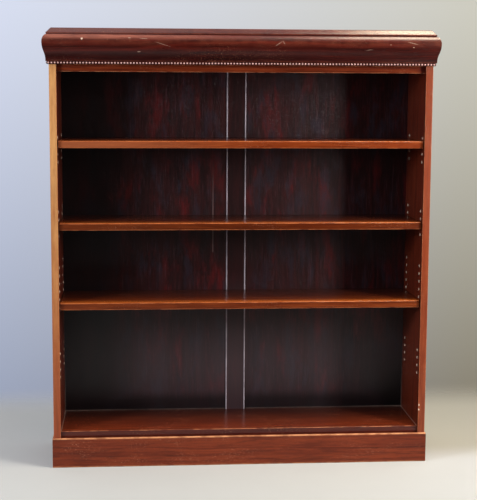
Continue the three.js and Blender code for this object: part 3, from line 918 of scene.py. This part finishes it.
# The lower and upper corner of a screw's slot, in millimetres
SLOT = ((-4.5, -0.9, -0.5), (4.5, 1.0, 0.5))


def build_shelves():
    for seed, level in enumerate(LEVELS):
        node = f"shelf_{level}"
        low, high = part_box(node)
        tones = shaded(SHELF_TONES, SHELF_SHADES[level])
        nick = (0.524, high.z - 1.5 * MM, 5 * MM, 4 * MM)
        finish = wood(f"{node}_mahogany", "X", 30 + seed, tones, roughness=0.24, worn=rgb(170, 95, 52),
                      patchy=(0.15, 1.0), flecks=0.3, marks=(nick,) if level == "upper" else (),
                      tint=top_lit_back_shaded(node, 0.6, PALE_ENDS[level]))
        piece = as_object(f"{node}_board", rounded_box(low, high, 0.8 * MM, front_radius=2.6 * MM), finish)
        notches = bmesh.new()
        for row in ROWS:
            for _, sign in SIDES:
                peg_low, peg_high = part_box(f"peg_{level}_{row}_right")
                middle = (peg_low.y + peg_high.y) / 2
                add_notch(notches, sign, high.x, middle, low.z, peg_high.z + NOTCH_ROOM)
        carve(piece, notches)
        settle(piece, node, "shelf_mahogany", node)


def add_notch(shape, sign, end, middle, under, ceiling):
    """A stopped notch with a round inner end, as a router leaves it."""
    half = NOTCH_HALF_WIDTH
    inner = end - NOTCH_LENGTH
    points = [(end + MM, middle - half), (end + MM, middle + half)]
    points += [(inner + half - half * math.sin(a), middle + half * math.cos(a))
               for a in (math.pi * i / 12 for i in range(13))]
    rings = [[shape.verts.new((sign * x, y, z)) for x, y in points] for z in (under - MM, ceiling)]
    made = [shape.faces.new(rings[0]), shape.faces.new(rings[1])]
    for i in range(len(points)):
        j = (i + 1) % len(points)
        made.append(shape.faces.new((rings[0][i], rings[0][j], rings[1][j], rings[1][i])))
    bmesh.ops.recalc_face_normals(shape, faces=made)


def build_pegs():
    profile = [(radius * MM, along * MM) for radius, along in PEG]
    for level in LEVELS:
        for row in ROWS:
            for side, sign in SIDES:
                node = f"peg_{level}_{row}_{side}"
                low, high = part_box(node)
                shape = bmesh.new()
                place = Vector((sign * INNER, (low.y + high.y) / 2, (low.z + high.z) / 2))
                lathe(shape, profile, place, Vector((-sign, 0, 0)), steps=28)
                bmesh.ops.recalc_face_normals(shape, faces=shape.faces)
                settle(as_object(f"{node}_turned", shape, brass), node, "brass_pegs", node)


def build_screws():
    """Countersunk screws, each with a slot. The back panels have no pockets for them here."""
    profile = [(radius * MM, depth * MM) for radius, depth in SCREW]
    for node in sorted(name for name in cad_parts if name.startswith("back_screw")):
        low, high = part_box(node)
        place = Vector(((low.x + high.x) / 2, high.y, (low.z + high.z) / 2))
        shape = bmesh.new()
        lathe(shape, profile, place, Vector((0, -1, 0)))
        bmesh.ops.recalc_face_normals(shape, faces=shape.faces)
        piece = as_object(f"{node}_turned", shape, steel)
        slot = rounded_box(Vector(SLOT[0]) * MM, Vector(SLOT[1]) * MM, 0.05 * MM)
        random.seed(node)
        turn = Matrix.Translation(place) @ Matrix.Rotation(random.uniform(0, math.pi), 4, "Y")
        bmesh.ops.transform(slot, matrix=turn, verts=slot.verts)
        carve(piece, slot)
        settle(piece, "carcass", "steel_screws", node)


def build_softwood():
    """Rails and the rear plinth board in softened pine. The glue blocks keep their CAD shape."""
    names = ["plinth_back", *(f"cornice_rail_{end}" for end in ("front", "left", "right", "back"))]
    for seed, node in enumerate(names):
        low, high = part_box(node)
        axis = "X" if high.x - low.x > high.y - low.y else "Y"
        finish = plain_wood(f"{node}_pine", axis, 100 + seed)
        piece = as_object(f"{node}_board", rounded_box(low, high, 0.6 * MM), finish)
        settle(piece, "carcass", "softwood", node)
    block_pine = plain_wood("block_pine", "Z", 120)
    for node in sorted(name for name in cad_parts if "_block_" in name):
        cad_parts[node].data.materials.clear()
        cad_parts[node].data.materials.append(block_pine)


# ---- Studio floor and world ----
def build_floor():
    """A pale floor that fades out into the world's colour behind the bookcase and all round it."""
    shape = bmesh.new()
    bmesh.ops.create_circle(shape, cap_ends=True, segments=96, radius=3.2)
    graph = Graph("floor_paper")
    place = graph.position()
    speckle = graph.noise(graph.stretch(place, (6, 6, 6)), 4.0)
    colour = graph.mix(graph.spread(speckle, 0.0, 0.25), rgb(193, 196, 195), rgb(177, 180, 179))
    parts = graph.split(place)
    # Darker behind the front of the case towards the right: partly the paper's edge, partly painted shade
    behind = graph.product(graph.between(parts[1], -0.14, 0.06), graph.between(parts[0], -0.4, 0.4))
    colour = graph.mix(graph.product(behind, 0.75), colour, rgb(162, 159, 141))
    graph.finish(colour, 0.85, graph.bump(speckle, 0.0004))
    away = graph.between(graph.distance(parts[0], parts[1]), 1.0, 3.0)
    fade = graph.math("MAXIMUM", away, graph.between(parts[1], 0.50, 0.95))
    clear = graph.node("ShaderNodeBsdfTransparent").outputs[0]
    blend = graph.node("ShaderNodeMixShader", {0: fade, 1: graph.shader.outputs[0], 2: clear})
    output = graph.tree.nodes["Material Output"]
    graph.tree.links.new(blend.outputs[0], output.inputs["Surface"])
    floor = as_object("studio_floor", shape, graph.material)


def build_world():
    """Pale where the camera sees it; as a light it is dim at the horizon and brighter overhead."""
    world = bpy.data.worlds.new("studio")
    scene.world = world
    world.use_nodes = True
    tree = world.node_tree
    nodes, links = tree.nodes, tree.links
    background = nodes["Background"]
    split = nodes.new("ShaderNodeSeparateXYZ")
    links.new(nodes.new("ShaderNodeTexCoord").outputs["Generated"], split.inputs[0])

    def gradient(socket, low, high, stops):
        measure = nodes.new("ShaderNodeMapRange")
        measure.inputs["From Min"].default_value = low
        measure.inputs["From Max"].default_value = high
        links.new(socket, measure.inputs["Value"])
        ramp = nodes.new("ShaderNodeValToRGB")
        ramp.color_ramp.elements[0].color, ramp.color_ramp.elements[1].color = stops
        links.new(measure.outputs[0], ramp.inputs[0])
        return ramp.outputs[0]

    def blend(factor, first, second):
        mix = nodes.new("ShaderNodeMix")
        mix.data_type = "RGBA"
        for value, socket in ((factor, mix.inputs[0]), (first, mix.inputs[6]), (second, mix.inputs[7])):
            links.new(value, socket)
        return mix.outputs[2]

    across = gradient(split.outputs[0], -0.12, 0.25, ((0, 0, 0, 1), (1, 1, 1, 1)))
    left = gradient(split.outputs[2], -0.235, 0.05, (rgb(158, 167, 190), rgb(216, 223, 243)))
    right = gradient(split.outputs[2], -0.235, 0.05, (rgb(138, 132, 117), rgb(206, 204, 192)))
    lit = gradient(split.outputs[2], 0.25, 1.0, ((0.010, 0.010, 0.012, 1), (1.0, 0.97, 1.0, 1)))
    seen_by_camera = nodes.new("ShaderNodeLightPath").outputs["Is Camera Ray"]
    links.new(blend(seen_by_camera, lit, blend(across, left, right)), background.inputs["Color"])


build_plinth()
build_sides()
build_boards()
build_back()
build_cornice()
build_shelves()
build_pegs()
build_screws()
build_softwood()
build_floor()
build_world()
